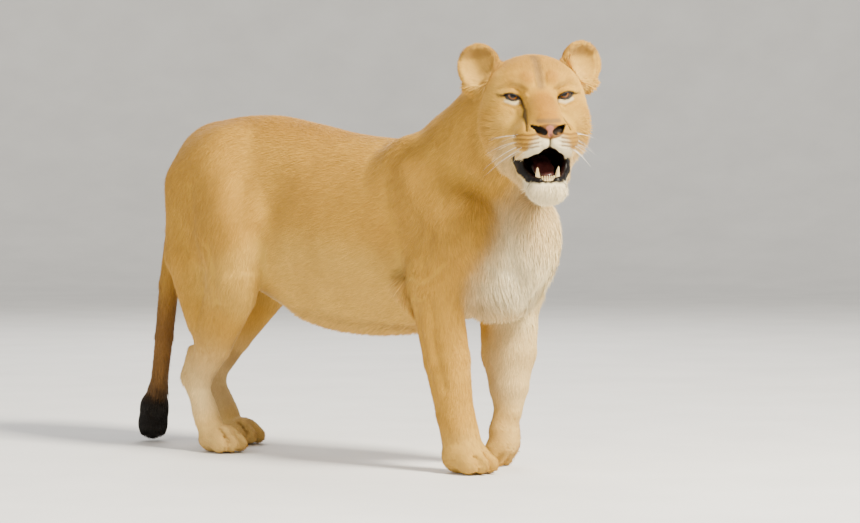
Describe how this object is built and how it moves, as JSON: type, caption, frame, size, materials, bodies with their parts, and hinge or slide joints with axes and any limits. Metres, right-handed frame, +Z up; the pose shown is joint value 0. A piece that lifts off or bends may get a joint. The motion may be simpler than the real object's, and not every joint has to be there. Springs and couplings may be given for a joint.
{
  "type": "lioness",
  "caption": "Life-size still model of a standing lioness, head turned to its right with the mouth open, a forepaw lifting from the ground and the long tail hanging with a dark tuft.",
  "frame": {"origin": "on the floor, under the middle of the animal's outline", "axes": "+Z up, -Y the way the body faces, -X the animal's right side"},
  "size_m": [0.4005, 1.4805, 0.9773],
  "materials": {
    "coat": "short tawny fur, paler below",
    "tuft": "long black fur",
    "eye": "wet amber eye",
    "nose_leather": "bare pink-brown skin",
    "tongue": "moist dark pink skin"
  },
  "bodies": {
    "root": {"eye_right": "eye", "eye_left": "eye", "ear_right": "coat", "ear_left": "coat", "head": "coat", "face": "coat", "lower_jaw": "coat", "tongue": "tongue", "nose": "nose_leather", "neck": "coat", "chest": "coat", "belly": "coat", "rump": "coat", "upper_arm_right": "coat", "forearm_right": "coat", "forepaw_right": "coat", "upper_arm_left": "coat", "forearm_left": "coat", "forepaw_left": "coat", "thigh_right": "coat", "shank_right": "coat", "hind_foot_right": "coat", "thigh_left": "coat", "shank_left": "coat", "hind_foot_left": "coat", "tail_root": "coat", "tail_middle": "coat", "tail_tuft": "tuft"}
  },
  "joints": []
}
